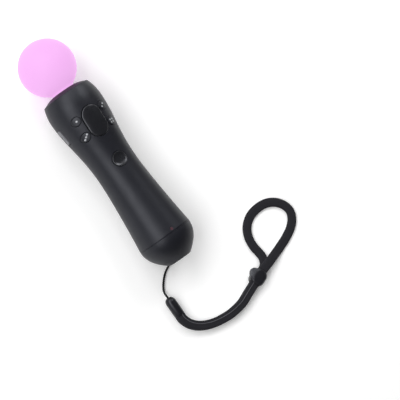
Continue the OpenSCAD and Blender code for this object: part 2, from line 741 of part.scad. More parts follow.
module ext_socket() lie() color(black) difference() {
    block(port_top, port_top + ext_t, -ext_w/2, ext_w/2, port_in, port_in + ext_deep);
    block(port_top + 0.35, port_top + ext_t - 0.35, -ext_w/2 + 0.5, ext_w/2 - 0.5, 0, ext_deep - 0.9);
}

module ext_pins() lie() color([0.8, 0.65, 0.25]) for (i = [-2:2])
    block(port_top + 0.35, port_top + 0.6, 1.4*i - 0.35, 1.4*i + 0.35, port_in + 1.4, ext_deep - 0.9);

module charge_contacts() lie() color([0.8, 0.65, 0.25]) for (s = [-1, 1])
    translate([port_x - usb_t/2, s*contact_y, 0.25]) cylinder(r = contact_d/2, h = 5.5);

module strap_bar() lie() color(steel) translate([eye[0], 5.2, eye[2]]) rotate([90, 0, 0])
    cylinder(r = bar_d/2, h = 10.4);

// Wrist strap
strand_up = [for (p = pair) [p[0], p[1], p[2] + low_z + step_z]];
strand_low = [for (p = pair) [p[0], p[1], p[2] + low_z]];
band_path = concat(strand_up, loop, reversed(strand_low));

module strap_string() at_tail() color(black) tube(string, string_d, string_d, 8, [0, 1, 0]);

module strap_ferrule() at_tail() color(black)
    translate([ferrule_at[0], ferrule_at[1], ferrule_r]) rotate([0, 90, 0]) rotate_extrude()
        polygon(concat([[0, 0]],
        [for (i = [0:6]) [mix(1.2, ferrule_r, sin(15*i)), 4.5*(1 - cos(15*i))]],
        [[ferrule_r, ferrule_l - 0.5], [ferrule_r - 0.3, ferrule_l], [0, ferrule_l]]));

module wrist_band() at_tail() color(black) tube(band_path, band_w, band_t, 12, [0, 0, 1]);

module strap_slider() at_tail() color(charcoal)
    translate([along(slider_travel)[0], along(slider_travel)[1], 0]) rotate([0, 0, slide_dir]) difference() {
        union() {
            translate([0, 0, 0.05]) linear_extrude(top_z + low_z + lift - 0.1) {
                square([slider_l - 6, slider_w], center = true);
                square([slider_l, slider_w - 6], center = true);
                for (a = [-1, 1], b = [-1, 1])
                    translate([a*(slider_l/2 - 3), b*(slider_w/2 - 3)]) circle(r = 3);
            }
            translate([0, 0, 4]) linear_extrude(4)
                polygon([[-slider_l/2 + 2, slider_w/2 - 1], [slider_l/2 - 3, slider_w/2 - 1],
                    [slider_l/2 - 4, slider_w/2 + 3.4], [slider_l/2 - 6, slider_w/2 + 4]]);
        }
        block(-slider_l, slider_l, -band_w/2 - slider_gap, band_w/2 + slider_gap,
            low_z + lift - band_t/2 - 0.35, top_z + band_t/2 + 0.35);
    }

echo(band_length = length_of(band_path), string_length = length_of(string));
echo(spring_gap = (spring_front - spring_back)/5 - spring_wire);

light_sphere();
head_collar();
light_carrier();
light_board();
light_led();
light_flex();
front_casing();
rear_casing();
casing_screws();
thumb_button();
face_button_1();
face_button_2();
face_button_3();
face_button_4();
home_button();
side_button_left();
side_button_right();
trigger();
trigger_pin();
trigger_spring();
sensor_plate();
trigger_sensor();
sensor_flex();
main_board();
board_screws();
board_chips();
button_pad();
home_switch();
side_switches();
status_pipe();
battery_cell();
battery_leads();
vibration_motor();
motor_boot();
motor_shaft();
motor_weight();
motor_leads();
end_cap();
port_board();
port_flex();
usb_socket();
usb_tongue();
ext_socket();
ext_pins();
charge_contacts();
strap_bar();
strap_string();
strap_ferrule();
wrist_band();
strap_slider();
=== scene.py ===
from math import atan2, copysign, cos, hypot, pi, radians, sin

import bmesh
import bpy
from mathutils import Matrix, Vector


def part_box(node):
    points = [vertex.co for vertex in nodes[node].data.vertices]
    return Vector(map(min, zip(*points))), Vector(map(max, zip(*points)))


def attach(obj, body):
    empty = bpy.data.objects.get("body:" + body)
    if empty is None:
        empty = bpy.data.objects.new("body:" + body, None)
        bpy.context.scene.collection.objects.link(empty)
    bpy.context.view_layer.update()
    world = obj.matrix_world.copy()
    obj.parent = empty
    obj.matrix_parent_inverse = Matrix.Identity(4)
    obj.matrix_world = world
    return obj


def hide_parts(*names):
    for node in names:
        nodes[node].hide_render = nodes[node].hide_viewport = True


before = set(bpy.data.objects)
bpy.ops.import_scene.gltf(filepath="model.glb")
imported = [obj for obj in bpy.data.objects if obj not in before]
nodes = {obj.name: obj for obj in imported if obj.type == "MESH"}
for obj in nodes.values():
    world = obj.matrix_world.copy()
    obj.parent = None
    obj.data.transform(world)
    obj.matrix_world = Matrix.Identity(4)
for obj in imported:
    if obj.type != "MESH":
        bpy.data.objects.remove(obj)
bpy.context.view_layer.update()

# The wand is described upright in millimetres, tail face at z = 0 and front towards +x,
# and row() lays it on its back in the frame, in metres.
MM = 0.001
scene = bpy.context.scene


def box_mm(node):
    """A node's lowest and highest corners in millimetres."""
    lo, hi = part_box(node)
    return lo / MM, hi / MM


sphere_lo, sphere_hi = box_mm("light_sphere")
TAIL_X = box_mm("end_cap")[1].x
AXIS_Z = (sphere_lo.z + sphere_hi.z) / 2

# Outline of the wand
SPHERE_R = (sphere_hi.z - sphere_lo.z) / 2
SPHERE_Z = TAIL_X - sphere_lo.x - SPHERE_R
HEAD_R, RIM_R, WAIST_R, TAIL_R, TAIL_FACE_R = 22.5, 19.8, 17.4, 22.5, 9.2
CAP_H, WAIST_Z, HEAD_Z, RIM_Z = 21.0, 83.0, 139.0, 153.0
TAIL_FULL, GRIP_FULL, HEAD_BIAS = 2.2, 1.4, 1.15
WALL, SEAM = 2.2, 0.12
EDGE, RIM_EDGE = 0.25, 0.6
SPLIT, SPLIT_GAP = 106.0, 0.3

# Light
GLOBE_WALL = 1.8
NECK_R, NECK_WALL = 9.5, 1.6
FLANGE_DROP, FLANGE_T, FLANGE_OUT = 1.6, 1.5, 2.5
COLLAR_R, COLLAR_RISE, COLLAR_T = 18.9, 2.8, 1.8
COLLAR_GAP, COLLAR_EDGE, COLLAR_DROP = 0.25, 0.15, 0.1
RIM_LIP = 0.8

# Buttons
THUMB_Z, THUMB_L, THUMB_W, THUMB_PROUD = 123.2, 25.0, 16.0, 0.8
FACE_Y, FACE_PITCH, FACE_D, FACE_PROUD, FACE_CROWN = 12.4, 13.6, 6.8, 0.6, 0.12
PIP_R, PIP_H, PIP_SINK = 0.72, 0.06, 0.1
HOME_Z, HOME_D, HOME_PROUD, HOME_DISH = 89.0, 11.6, 0.5, 1.1
SIDE_X, SIDE_Z, SIDE_L, SIDE_W, SIDE_PROUD = 0.8, 126.0, 13.0, 3.8, 0.5
BUTTON_GAP, SIDE_GROOVE = 0.2, 0.45
LED_Z, LED_R, LED_GAP, PIPE_GAP = 23.4, 1.2, 0.1, 0.3

# Trigger and screws
TRIG_X, TRIG_Z, TRIG_ROOT, TRIG_W = -16.8, 134.0, 5.0, 13.0
TRIG_DISH, TRIG_BEVEL = 1.5, 1.1
TRIG_ROOT_FROM = radians(-74)
TIP_X, TIP_Z, TIP_ROUND = -22.15, 109.5, 0.9
TIP_SHAPE = ((0.5, 0.25), (1.3, 0.0), (3.4, 0.0), (4.0, 0.3))
SLOT_ABOVE, SLOT_BELOW, SLOT_BESIDE, SLOT_CORNER = 0.5, 0.6, 0.35, 1.2
SCREW_Y, SCREW_Z, SCREW_HEAD_R, SCREW_GAP = 11.6, (33.0, 99.8), 2.0, 0.1

# Tail
TAIL_EDGE, TAIL_EDGE_RISE, TAIL_FROM = 0.6, 0.25, 0.3
SPIGOT_H, SPIGOT_T, SPIGOT_GAP = 5.0, 1.5, 0.15
SPIGOT_FOOT, CAP_INSIDE, CAP_FLOOR = 4.0, 5.0, 2.6
EYE_Z, EYE_IN, EYE_D, EYE_FROM = 6.6, 2.6, 6.6, 3.4
BOSS_WALL, BOSS_FROM, BOSS_L = 1.6, 5.0, 5.5
PORT_BACK, PORT_TOP, PORT_GAP_W, PORT_GAP_T = -0.6, 0.6, 0.2, 0.1
USB_W, USB_T, USB_CORNER = 7.7, 3.9, 0.6
EXT_W, EXT_T, EXT_CORNER = 8.8, 5.2, 0.5
CONTACT_Y, CONTACT_D, CONTACT_GAP = 6.6, 2.2, 0.1
TAIL_INSIDE = 5.0

# Openings: where each cutter starts on its way out, and the rounding of the edge it leaves
THUMB_CUT, FACE_CUT, HOME_CUT, SIDE_CUT = (5, 0.5), (3, 0.35), (6, 0.5), (12, 0.5)
LED_CUT, PIPE_CUT = (6, 0.15), (10, 0.1)
TRIGGER_CUT, SCREW_CUT = (8, 0.6), (5, 0.2)
EYE_CUT, PORT_CUT, CONTACT_CUT = (0, 0.5), (0, 0.3), (0, 0.2)
CUT_FLARE, CUT_RISE, CUT_CLEAR = 1.6, 0.3, 3

# Strap
BAND_W, BAND_T = 7.4, 2.6
STRING_D = 1.8
BAR_D, BAR_GAP = 2.0, 0.2
FERRULE_D, FERRULE_L, FERRULE_NOSE = 8.4, 16.0, 4.5
SLIDER_L, SLIDER_W, SLIDER_CORNER = 14.0, 12.0, 5.0
SLIDER_FOOT, SLIDER_BROW, SLIDER_DROP = 1.0, 3.0, 0.1
MOUTH_GAP_W, MOUTH_GAP_T, MOUTH_CORNER = 0.8, 0.35, 1.2
MOUTH_REACH, MOUTH_FLARE, MOUTH_LIP = 9.0, 0.9, 0.5
LATCH_HALF, LATCH_SKEW, LATCH_FROM, LATCH_OUT, LATCH_SLOPE = 5.0, 1.1, 2.6, 6.0, 0.34
FLOOR_GAP, STRAND_GAP = 0.05, 0.2


def row(x, y, z):
    """A point of the upright wand, in millimetres, as a point of the frame, in metres."""
    return Vector((TAIL_X - z, y, AXIS_Z + x)) * MM


def unrow(point):
    """A point of the frame, in metres, as a point of the upright wand, in millimetres."""
    return Vector((point.z / MM - AXIS_Z, point.y / MM, TAIL_X - point.x / MM))


def mix(a, b, t):
    return a + (b - a) * t


def evenly(a, b, count):
    """The ends of so many equal steps from a to b, with a itself first."""
    return [mix(a, b, i / count) for i in range(count + 1)]


def ease(t):
    return (1 - cos(pi * t)) / 2


def fillet(radius, angle):
    """How far a rounded edge goes along and draws in, at an angle of its quarter circle in degrees."""
    return radius * (1 - cos(radians(angle))), radius * (1 - sin(radians(angle)))


def body_r(z):
    """Radius of the wand's skin at height z."""
    if z < CAP_H:
        return mix(TAIL_FACE_R, TAIL_R, 1 - (1 - max(z, 0.0) / CAP_H) ** TAIL_FULL)
    if z < WAIST_Z:
        return mix(TAIL_R, WAIST_R, 1 - (1 - (z - CAP_H) / (WAIST_Z - CAP_H)) ** GRIP_FULL)
    if z < HEAD_Z:
        return mix(WAIST_R, HEAD_R, ease(((z - WAIST_Z) / (HEAD_Z - WAIST_Z)) ** HEAD_BIAS))
    return mix(HEAD_R, RIM_R, ((z - HEAD_Z) / (RIM_Z - HEAD_Z)) ** 2)


def pierce(point, axis):
    """Distance from a point inside the wand along axis to its skin, found by halving."""
    near, far, halvings = 0.0, 60.0, 44
    for _ in range(halvings):
        mid = (near + far) / 2
        p = point + axis * mid
        if p.z < 0 or hypot(p.x, p.y) > body_r(p.z):
            far = mid
        else:
            near = mid
    return near


# Camera, fitted to the photograph
TARGET = Vector((71.88, 40.91, 22.5)) * MM
CAMERA_FAR, CAMERA_CLIP = 1.4, 20
CAMERA_LENS = 163.27
AZIMUTH, ELEVATION, ROLL = radians(-3.04), radians(68.15), radians(57.94)


def add_camera():
    flat = cos(ELEVATION)
    back = Vector((sin(AZIMUTH) * flat, -cos(AZIMUTH) * flat, sin(ELEVATION)))
    level = Vector((cos(AZIMUTH), sin(AZIMUTH), 0))
    rise = back.cross(level)
    right = level * cos(ROLL) + rise * sin(ROLL)
    up = back.cross(right)
    data = bpy.data.cameras.new("camera")
    data.lens = CAMERA_LENS
    data.clip_end = CAMERA_CLIP
    camera = bpy.data.objects.new("camera", data)
    scene.collection.objects.link(camera)
    camera.matrix_world.col[0].xyz = right
    camera.matrix_world.col[1].xyz = up
    camera.matrix_world.col[2].xyz = back
    camera.matrix_world.translation = TARGET + back * CAMERA_FAR
    scene.camera = camera


add_camera()


# Materials: scales are per metre, depths in metres
COOL = (0.9, 0.92, 1.0, 1.0)
NOISE_LOW, NOISE_HIGH = 0.3, 0.7
GRAIN, GRAIN_DEPTH, PATCH = 2600.0, 0.00002, 60.0
SCRATCH, SCRATCH_DEPTH = 1800.0, 0.000004


def new_material(name):
    material = bpy.data.materials.new(name)
    material.use_nodes = True
    tree = material.node_tree
    shader = tree.nodes["Principled BSDF"]
    coords = tree.nodes.new("ShaderNodeTexCoord")
    return material, tree, shader, coords.outputs["Object"]


def noise(tree, coords, scale, detail=3.0, rough=0.55):
    node = tree.nodes.new("ShaderNodeTexNoise")
    node.inputs["Scale"].default_value = scale
    node.inputs["Detail"].default_value = detail
    node.inputs["Roughness"].default_value = rough
    tree.links.new(coords, node.inputs["Vector"])
    return node.outputs["Fac"]


def spread(tree, value, low, high, from_low=NOISE_LOW, from_high=NOISE_HIGH):
    """Maps a noise value onto the range from low to high."""
    node = tree.nodes.new("ShaderNodeMapRange")
    node.inputs["From Min"].default_value = from_low
    node.inputs["From Max"].default_value = from_high
    node.inputs["To Min"].default_value = low
    node.inputs["To Max"].default_value = high
    tree.links.new(value, node.inputs["Value"])
    return node.outputs["Result"]


def tint(tree, value, dark, light):
    """Maps a noise value onto the colours from dark to light."""
    node = tree.nodes.new("ShaderNodeValToRGB")
    node.color_ramp.elements[0].position = NOISE_LOW
    node.color_ramp.elements[1].position = NOISE_HIGH
    node.color_ramp.elements[0].color = (*dark, 1)
    node.color_ramp.elements[1].color = (*light, 1)
    tree.links.new(value, node.inputs["Fac"])
    return node.outputs["Color"]


def relief(tree, shader, height, depth):
    node = tree.nodes.new("ShaderNodeBump")
    node.inputs["Strength"].default_value = 1.0
    node.inputs["Distance"].default_value = depth
    tree.links.new(height, node.inputs["Height"])
    tree.links.new(node.outputs["Normal"], shader.inputs["Normal"])


def moulded(name, dark, light, rough, depth=GRAIN_DEPTH, patch=PATCH, level=0.5):
    """Moulded plastic or rubber: fine grain, cloudy colour and uneven gloss."""
    material, tree, shader, coords = new_material(name)
    cloud = noise(tree, coords, patch)
    tree.links.new(tint(tree, cloud, dark, light), shader.inputs["Base Color"])
    gloss = noise(tree, coords, patch * 3)
    tree.links.new(spread(tree, gloss, *rough), shader.inputs["Roughness"])
    shader.inputs["Specular IOR Level"].default_value = level
    shader.inputs["Specular Tint"].default_value = COOL
    relief(tree, shader, noise(tree, coords, GRAIN, detail=2.0), depth)
    return material


def metal(name, dark, light, rough):
    """Plated or drawn metal with fine scratches."""
    material, tree, shader, coords = new_material(name)
    scratch = noise(tree, coords, SCRATCH, detail=4.0, rough=0.7)
    tree.links.new(tint(tree, scratch, dark, light), shader.inputs["Base Color"])
    gloss = noise(tree, coords, SCRATCH / 6)
    tree.links.new(spread(tree, gloss, *rough), shader.inputs["Roughness"])
    shader.inputs["Metallic"].default_value = 1.0
    relief(tree, shader, scratch, SCRATCH_DEPTH)
    return material


def glow(name, base, dark, light, strength):
    """Milky silicone lit from inside, a little unevenly."""
    material, tree, shader, coords = new_material(name)
    shader.inputs["Base Color"].default_value = (*base, 1)
    cloud = noise(tree, coords, 24.0, detail=2.0)
    tree.links.new(tint(tree, cloud, dark, light), shader.inputs["Emission Color"])
    shader.inputs["Emission Strength"].default_value = strength
    shader.inputs["Specular IOR Level"].default_value = 0.2
    gloss = noise(tree, coords, 160.0)
    tree.links.new(spread(tree, gloss, 0.5, 0.62), shader.inputs["Roughness"])
    relief(tree, shader, noise(tree, coords, 2200.0, detail=2.0), depth=0.000012)
    return material


def woven(name, dark, light, thread):
    """Tightly woven nylon: fine yarn relief, with a little sheen on the fibres."""
    material, tree, shader, coords = new_material(name)
    yarn = noise(tree, coords, 1.0 / thread, detail=2.0, rough=0.6)
    tree.links.new(tint(tree, yarn, dark, light), shader.inputs["Base Color"])
    tree.links.new(spread(tree, yarn, 0.72, 0.9), shader.inputs["Roughness"])
    shader.inputs["Specular IOR Level"].default_value = 0.3
    shader.inputs["Sheen Weight"].default_value = 0.05
    shader.inputs["Sheen Roughness"].default_value = 0.5
    relief(tree, shader, yarn, depth=thread * 0.3)
    return material


# Each has its darkest and lightest colour, then the range of its roughness
soft_black = moulded("casing_soft_touch", (0.0064, 0.0068, 0.0102), (0.0082, 0.0087, 0.0128),
                     (0.42, 0.48), level=0.38)
button_black = moulded("button_black", (0.0042, 0.0044, 0.006), (0.006, 0.0063, 0.0082),
                       (0.26, 0.34), level=0.7)
button_grey = moulded("button_grey", (0.013, 0.0136, 0.017), (0.018, 0.0187, 0.023),
                      (0.32, 0.4), level=0.3)
side_grey = moulded("side_button_grey", (0.125, 0.126, 0.138), (0.15, 0.151, 0.165), (0.34, 0.42))
collar_black = moulded("collar_black", (0.006, 0.006, 0.007), (0.009, 0.009, 0.010),
                       (0.42, 0.5), level=0.25)
mark_grey = moulded("mark_grey", (0.36, 0.37, 0.39), (0.43, 0.44, 0.46), (0.45, 0.55), depth=0.000008)
strap_black = moulded("strap_fitting_black", (0.008, 0.008, 0.0105), (0.012, 0.012, 0.015),
                      (0.28, 0.36), level=0.35)
strap_grey = moulded("strap_latch_grey", (0.016, 0.017, 0.021), (0.024, 0.025, 0.03), (0.22, 0.3))
rubber = moulded("rubber_black", (0.012, 0.012, 0.012), (0.018, 0.018, 0.018), (0.6, 0.75))
white_part = moulded("white_part", (0.72, 0.72, 0.72), (0.8, 0.8, 0.79), (0.4, 0.5))
grey_part = moulded("grey_silicone", (0.26, 0.26, 0.27), (0.32, 0.32, 0.33), (0.6, 0.7))
chip_black = moulded("chip_black", (0.014, 0.014, 0.015), (0.022, 0.022, 0.024), (0.5, 0.6))
board_green = moulded("board_green", (0.012, 0.10, 0.045), (0.02, 0.14, 0.065), (0.3, 0.42), patch=300.0)
flex_amber = moulded("flex_amber", (0.42, 0.2, 0.03), (0.52, 0.27, 0.05), (0.25, 0.35), patch=300.0)
cell_blue = moulded("cell_wrap", (0.03, 0.06, 0.2), (0.04, 0.08, 0.25), (0.2, 0.3))
wire_red = moulded("wire_red", (0.32, 0.012, 0.012), (0.4, 0.02, 0.02), (0.35, 0.45))
wire_blue = moulded("wire_blue", (0.01, 0.025, 0.24), (0.02, 0.035, 0.3), (0.35, 0.45))
steel = metal("bright_steel", (0.5, 0.5, 0.52), (0.62, 0.62, 0.64), (0.22, 0.34))
gold = metal("gold_plate", (0.7, 0.5, 0.2), (0.82, 0.6, 0.26), (0.2, 0.32))
tungsten = metal("sintered_weight", (0.3, 0.28, 0.24), (0.4, 0.37, 0.32), (0.4, 0.55))
lilac_glow = glow("lit_silicone", base=(0.15, 0.065, 0.15), dark=(0.955, 0.5, 0.95),
                  light=(0.985, 0.535, 0.985), strength=0.805)
led_red = moulded("status_lens", (0.06, 0.028, 0.038), (0.085, 0.042, 0.054), (0.12, 0.2), depth=0.000004)
band_cloth = woven("band_weave", (0.006, 0.0058, 0.0085), (0.016, 0.0155, 0.021), thread=0.0005)
cord_cloth = woven("string_weave", (0.003, 0.003, 0.004), (0.008, 0.008, 0.010), thread=0.0003)
# The seam thread's light grey is a painted highlight along the band's upper strand
highlight_thread_grey = woven("highlight_thread_grey", (0.06, 0.06, 0.07), (0.12, 0.12, 0.135), thread=0.0003)

CAD_FINISH = {
    "light_carrier": white_part, "light_board": white_part, "light_led": white_part,
    "light_flex": flex_amber, "casing_screws": steel, "trigger_pin": steel, "trigger_spring": steel,
    "sensor_plate": chip_black, "trigger_sensor": grey_part, "sensor_flex": flex_amber,
    "main_board": board_green, "board_screws": steel, "board_chips": chip_black,
    "button_pad": grey_part, "home_switch": chip_black, "side_switches": chip_black,
    "status_pipe": led_red, "battery_cell": cell_blue, "battery_leads": wire_red,
    "vibration_motor": steel, "motor_boot": rubber, "motor_shaft": steel, "motor_weight": tungsten,
    "motor_leads": wire_blue, "port_board": board_green, "port_flex": flex_amber,
    "usb_socket": steel, "usb_tongue": chip_black, "ext_socket": chip_black, "ext_pins": gold,
    "charge_contacts": gold, "strap_bar": steel,
}
for node_name, finish in CAD_FINISH.items():
    nodes[node_name].data.materials.clear()
    nodes[node_name].data.materials.append(finish)


# Mesh helpers
def loft(rings, round_trip=False):
    """Points and faces of a skin over closed rings of equally many points."""
    n, count = len(rings[0]), len(rings)
    points = [p for ring in rings for p in ring]
    faces = []
    for i in range(count if round_trip else count - 1):
        j = (i + 1) % count
        for k in range(n):
            m = (k + 1) % n
            faces.append((i * n + k, i * n + m, j * n + m, j * n + k))
    if not round_trip:
        faces.append(tuple(range(n - 1, -1, -1)))
        faces.append(tuple((count - 1) * n + k for k in range(n)))
    return points, faces


def spun(profile, turns, place=row):
    """Points and faces of a profile turned full circle, where place() puts a point in the frame."""
    rings = []
    for i in range(turns):
        c, s = cos(2 * pi * i / turns), sin(2 * pi * i / turns)
        rings.append([place(r * c, r * s, z) for r, z in profile])
    return loft(rings, round_trip=True)


def joined(skins):
    """Several skins as one set of points and faces."""
    points, faces = [], []
    for more, skin in skins:
        faces += [tuple(k + len(points) for k in face) for face in skin]
        points += more
    return points, faces


def add_mesh(name, points, faces):
    mesh = bpy.data.meshes.new(name)
    mesh.from_pydata(points, [], faces)
    solid = bmesh.new()
    solid.from_mesh(mesh)
    bmesh.ops.remove_doubles(solid, verts=solid.verts, dist=1e-7)
    bmesh.ops.dissolve_degenerate(solid, edges=solid.edges, dist=1e-8)
    bmesh.ops.recalc_face_normals(solid, faces=solid.faces)
    solid.to_mesh(mesh)
    solid.free()
    obj = bpy.data.objects.new(name, mesh)
    scene.collection.objects.link(obj)
    return obj


def smooth(obj, angle):
    """Shades a piece smooth, except over edges sharper than an angle in degrees."""
    obj.data.polygons.foreach_set("use_smooth", [True] * len(obj.data.polygons))
    obj.data.set_sharp_from_angle(angle=radians(angle))


def dress(obj, material, body, *replaced):
    """Gives a piece its material and body, and hides the CAD nodes that it stands for."""
    obj.data.materials.clear()
    obj.data.materials.append(material)
    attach(obj, body)
    if replaced:
        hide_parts(*replaced)
    return obj


def carve(obj, tools, operation="DIFFERENCE"):
    """Cuts the tools out of a piece, or joins them to it, and deletes them."""
    for tool in tools:
        modifier = obj.modifiers.new(tool.name, "BOOLEAN")
        modifier.object = tool
        modifier.operation = operation
        modifier.solver = "EXACT"
    evaluated = obj.evaluated_get(bpy.context.evaluated_depsgraph_get())
    old, obj.data = obj.data, bpy.data.meshes.new_from_object(evaluated)
    obj.modifiers.clear()
    bpy.data.meshes.remove(old)
    for tool in tools:
        bpy.data.meshes.remove(tool.data)


def skin_normal(p):
    """Outward direction of the wand's skin at p, in the frame."""
    step = 0.02
    slope = (body_r(p.z + step) - body_r(max(p.z - step, 0.0))) / (2 * step)
    r = hypot(p.x, p.y)
    return Vector((slope, p.y / r, p.x / r)).normalized()


def follow_skin(obj):
    """Shades the cut casing as one even skin, whatever facets the cuts left in it."""
    above_face, near_skin, same_way = 0.01, 0.02, 0.95
    smooth(obj, angle=30)
    mesh = obj.data
    normals = [n.vector.copy() for n in mesh.corner_normals]
    for face in mesh.polygons:
        for corner in face.loop_indices:
            p = unrow(mesh.vertices[mesh.loops[corner].vertex_index].co)
            if p.z > above_face and abs(hypot(p.x, p.y) - body_r(p.z)) < near_skin:
                normal = skin_normal(p)
                if normal.dot(face.normal) > same_way:
                    normals[corner] = normal
    mesh.normals_split_custom_set(normals)


def rounded(length, width, radius, count=64):
    """An outline with round ends or corners, as a function of an outward offset."""
    def at(offset):
        points = []
        for k in range(count):
            a = 2 * pi * (k + 0.5) / count
            u = copysign(length / 2 - radius, cos(a)) + (radius + offset) * cos(a)
            v = copysign(width / 2 - radius, sin(a)) + (radius + offset) * sin(a)
            points.append((u, v))
        return points
    return at


def disc(d, count=48):
    return rounded(d, d, d / 2, count)


def widened(outline, gap):
    return lambda offset: outline(offset + gap)


class Seat:
    """A place on the skin: a point inside the wand, the way out of it, and two directions across."""

    def __init__(self, origin, axis, u, v):
        self.origin, self.axis = Vector(origin), Vector(axis).normalized()
        self.u, self.v = Vector(u).normalized(), Vector(v).normalized()

    def inside(self, uv):
        return self.origin + self.u * uv[0] + self.v * uv[1]

    def flat(self, outline, reach):
        return [row(*(self.inside(p) + self.axis * reach)) for p in outline]

    def on_skin(self, outline, lift):
        """Points over the skin, all at a height of lift."""
        ring = []
        for uv in outline:
            p = self.inside(uv)
            ring.append(row(*(p + self.axis * (pierce(p, self.axis) + lift))))
        return ring


def front_seat(y, z):
    return Seat((0, y, z), (1, 0, 0), (0, 0, 1), (0, 1, 0))


def side_seat(side):
    return Seat((SIDE_X, 0, SIDE_Z), (0, side, 0), (0, 0, 1), (1, 0, 0))


def back_seat(y, z):
    return Seat((0, y, z), (-1, 0, 0), (0, 0, 1), (0, 1, 0))


def tail_seat(x, y):
    return Seat((x, y, TAIL_INSIDE), (0, 0, -1), (0, 1, 0), (1, 0, 0))


def hole_tool(name, seat, outline, start, edge):
    """A cutter for an opening: straight walls, then an edge rounded into the skin."""
    rings = [seat.flat(outline(0), start)]
    for a in (0, 25, 50, 75):
        offset, depth = fillet(edge, a)
        rings.append(seat.on_skin(outline(offset), -depth))
    flared = outline(edge * CUT_FLARE)
    rings.append(seat.on_skin(flared, edge * CUT_RISE))
    top = max(pierce(seat.inside(uv), seat.axis) for uv in flared)
    rings.append(seat.flat(flared, top + CUT_CLEAR))
    return add_mesh(name, *loft(rings))


def button(name, seat, outline, proud, edge, skirt, crown, rim=1.0, fullness=2.0):
    """A cap over the skin: walls, a rounded edge, and a top with a crown or dish inside rim."""
    rings = [seat.on_skin(outline(0), -skirt)]
    for a in (0, 22.5, 45, 67.5, 90):
        offset, drop = fillet(edge, a)
        rings.append(seat.on_skin(outline(-offset), proud - drop))
    inner, steps = outline(-edge), 20
    for k in range(steps - 1, 0, -1):
        share = k / steps
        height = proud + crown * max(0.0, 1 - (share / rim) ** fullness)
        rings.append(seat.on_skin([(u * share, v * share) for u, v in inner], height))
    obj = add_mesh(name, *loft(rings))
    smooth(obj, angle=40)
    return obj


FACE_PLACES = [(-FACE_Y, THUMB_Z + FACE_PITCH / 2), (FACE_Y, THUMB_Z + FACE_PITCH / 2),
               (-FACE_Y, THUMB_Z - FACE_PITCH / 2), (FACE_Y, THUMB_Z - FACE_PITCH / 2)]
thumb_outline = rounded(THUMB_L, THUMB_W, THUMB_W / 2, 96)
side_outline = rounded(SIDE_L, SIDE_W, SIDE_W / 2)
slot_top, slot_foot = TRIG_Z + TRIG_ROOT + SLOT_ABOVE, TIP_Z - SLOT_BELOW
trigger_slot = rounded(slot_top - slot_foot, TRIG_W + 2 * SLOT_BESIDE, SLOT_CORNER)


# Casings and end cap
ARC, RIM_ARC = (0, 30, 60, 90), (90, 70, 50, 30, 10)
SKIN_STEPS, WALL_STEPS = 110, 40
FRONT_STEPS, REAR_STEPS, CAP_TURNS = 110, 78, 176


def casing_profile(inset):
    """The casing's wall: up the skin with rounded edges, over the lip and down the inside."""
    low, points = CAP_H + SEAM, []
    for a in ARC:
        rise, draw = fillet(EDGE, a)
        points.append((body_r(low) - max(inset, draw), low + rise))
    for z in evenly(low + EDGE, RIM_Z - RIM_EDGE, SKIN_STEPS)[1:-1]:
        points.append((body_r(z) - inset, z))
    for a in RIM_ARC:
        drop, draw = fillet(RIM_EDGE, a)
        points.append((body_r(RIM_Z - drop) - max(inset, draw), RIM_Z - drop))
    lip = RIM_R - RIM_LIP
    points += [(lip, RIM_Z - COLLAR_DROP), (lip, RIM_Z - COLLAR_T)]
    for z in evenly(RIM_Z - COLLAR_T, low, WALL_STEPS):
        points.append((body_r(z) - WALL, z))
    return points


def casing(name, first, last, steps):
    """A sector of the casing, from angle first to last, with its long edges rounded."""
    turn = EDGE / WAIST_R * 180 / pi
    ends = [(fillet(turn, a)[0], fillet(EDGE, a)[1]) for a in ARC]
    stops = [(first + angle, inset) for angle, inset in ends]
    stops += [(angle, 0.0) for angle in evenly(first + turn, last - turn, steps)[1:-1]]
    stops += [(last - angle, inset) for angle, inset in reversed(ends)]
    rings = []
    for angle, inset in stops:
        c, s = cos(radians(angle)), sin(radians(angle))
        rings.append([row(r * c, r * s, z) for r, z in casing_profile(inset)])
    return add_mesh(name, *loft(rings))


def front_casing():
    obj = casing("casing_front", -SPLIT, SPLIT, FRONT_STEPS)
    thumb_hole, side_hole = widened(thumb_outline, BUTTON_GAP), widened(side_outline, SIDE_GROOVE)
    face_hole, home_hole = disc(FACE_D + 2 * BUTTON_GAP), disc(HOME_D + 2 * BUTTON_GAP, 64)
    tools = [hole_tool("cut_thumb", front_seat(0, THUMB_Z), thumb_hole, *THUMB_CUT)]
    for y, z in FACE_PLACES:
        tools.append(hole_tool("cut_face", front_seat(y, z), face_hole, *FACE_CUT))
    tools.append(hole_tool("cut_home", front_seat(0, HOME_Z), home_hole, *HOME_CUT))
    for side in (-1, 1):
        tools.append(hole_tool("cut_side", side_seat(side), side_hole, *SIDE_CUT))
    tools.append(hole_tool("cut_led", front_seat(0, LED_Z), disc(2 * (LED_R + LED_GAP), 32), *LED_CUT))
    carve(obj, tools)
    follow_skin(obj)
    return dress(obj, soft_black, "wand", "front_casing")


def rear_casing():
    obj = casing("casing_rear", SPLIT + SPLIT_GAP, 360 - SPLIT_GAP - SPLIT, REAR_STEPS)
    slot_seat = back_seat(0, (slot_top + slot_foot) / 2)
    tools = [hole_tool("cut_trigger", slot_seat, trigger_slot, *TRIGGER_CUT)]
    screw_hole = disc(2 * (SCREW_HEAD_R + SCREW_GAP), 40)
    for y in (-SCREW_Y, SCREW_Y):
        for z in SCREW_Z:
            tools.append(hole_tool("cut_screw", back_seat(y, z), screw_hole, *SCREW_CUT))
    carve(obj, tools)
    follow_skin(obj)
    return dress(obj, soft_black, "wand", "rear_casing")


